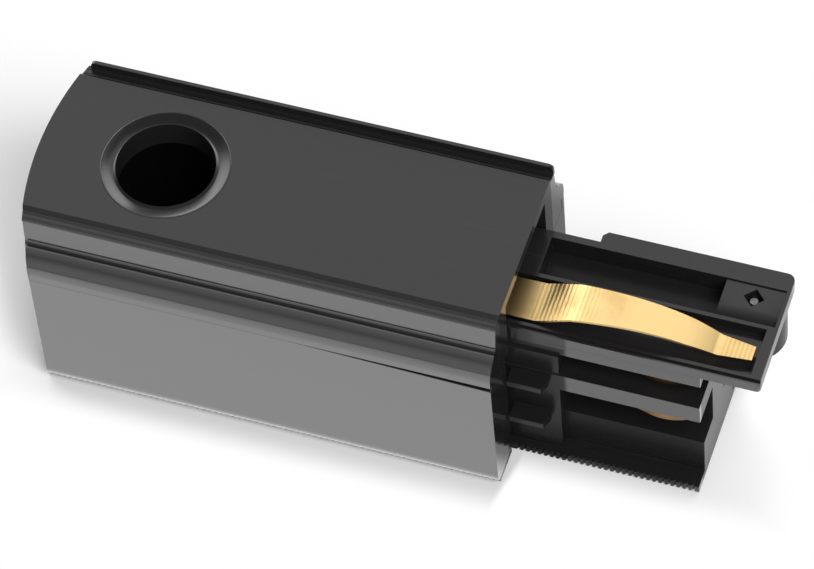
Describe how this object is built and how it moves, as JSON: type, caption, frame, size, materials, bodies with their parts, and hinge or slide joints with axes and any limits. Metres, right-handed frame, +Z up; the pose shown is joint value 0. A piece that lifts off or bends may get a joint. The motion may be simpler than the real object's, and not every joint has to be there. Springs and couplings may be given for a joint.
{
  "type": "track live end feed",
  "caption": "End feed for a three-circuit lighting track: moulded housing with cable entry and a contact tongue that plugs into the track.",
  "frame": {"origin": "middle of the overall box, on the surface that the feed rests on", "axes": "+X from the rounded end of the housing to the tip of the tongue, +Z up to the cable entry"},
  "size_m": [0.1204, 0.039, 0.0411],
  "materials": {
    "housing_plastic": "semi-gloss black",
    "carrier_plastic": "semi-gloss black",
    "spring_brass": "bright rolled",
    "contact_copper": "bright copper alloy",
    "terminal_brass": "drawn",
    "screw_steel": "zinc plated"
  },
  "bodies": {
    "housing": {"housing_base": "housing_plastic", "carrier_body": "carrier_plastic", "carrier_cap": "carrier_plastic", "locking_pin": "screw_steel", "terminal_near_upper": "terminal_brass", "terminal_near_lower": "terminal_brass", "terminal_far_upper": "terminal_brass", "terminal_far_lower": "terminal_brass", "terminal_earth": "terminal_brass", "terminal_screw_near_upper": "screw_steel", "terminal_screw_near_lower": "screw_steel", "terminal_screw_far_upper": "screw_steel", "terminal_screw_far_lower": "screw_steel", "terminal_screw_earth": "screw_steel", "carrier_screw_near": "screw_steel", "carrier_screw_far": "screw_steel"},
    "cover": {"housing_cover": "housing_plastic", "cover_screw": "screw_steel"},
    "strain_relief": {"cable_clamp": "carrier_plastic", "clamp_screw_near": "screw_steel", "clamp_screw_far": "screw_steel"},
    "earth_contact": {"earth_spring": "spring_brass"},
    "near_upper_contact": {"contact_near_upper": "contact_copper"},
    "near_lower_contact": {"contact_near_lower": "contact_copper"},
    "far_upper_contact": {"contact_far_upper": "contact_copper"},
    "far_lower_contact": {"contact_far_lower": "contact_copper"}
  },
  "joints": [
    {"name": "cover_slide", "type": "slide", "parent": "housing", "child": "cover", "axis": [0, 0, -1], "range_m": [0, 0.03]},
    {"name": "strain_relief_slide", "type": "slide", "parent": "housing", "child": "strain_relief", "axis": [0, 0, -1], "range_m": [0, 0.003]},
    {"name": "earth_press", "type": "hinge", "parent": "housing", "child": "earth_contact", "pos_m": [0.01825, -0.0043, 0.0322], "axis": [0, 1, 0], "range_deg": [0, 1.2], "stiffness_Nm_per_rad": 0.5},
    {"name": "near_upper_press", "type": "hinge", "parent": "housing", "child": "near_upper_contact", "pos_m": [-0.00825, -0.005, 0.0247], "axis": [0, 0, 1], "range_deg": [0, 1], "stiffness_Nm_per_rad": 0.5},
    {"name": "near_lower_press", "type": "hinge", "parent": "housing", "child": "near_lower_contact", "pos_m": [-0.00025, -0.005, 0.0149], "axis": [0, 0, 1], "range_deg": [0, 1], "stiffness_Nm_per_rad": 0.5},
    {"name": "far_upper_press", "type": "hinge", "parent": "housing", "child": "far_upper_contact", "pos_m": [-0.00825, 0.005, 0.0247], "axis": [0, 0, -1], "range_deg": [0, 1], "stiffness_Nm_per_rad": 0.5},
    {"name": "far_lower_press", "type": "hinge", "parent": "housing", "child": "far_lower_contact", "pos_m": [-0.00025, 0.005, 0.0149], "axis": [0, 0, -1], "range_deg": [0, 1], "stiffness_Nm_per_rad": 0.5}
  ]
}
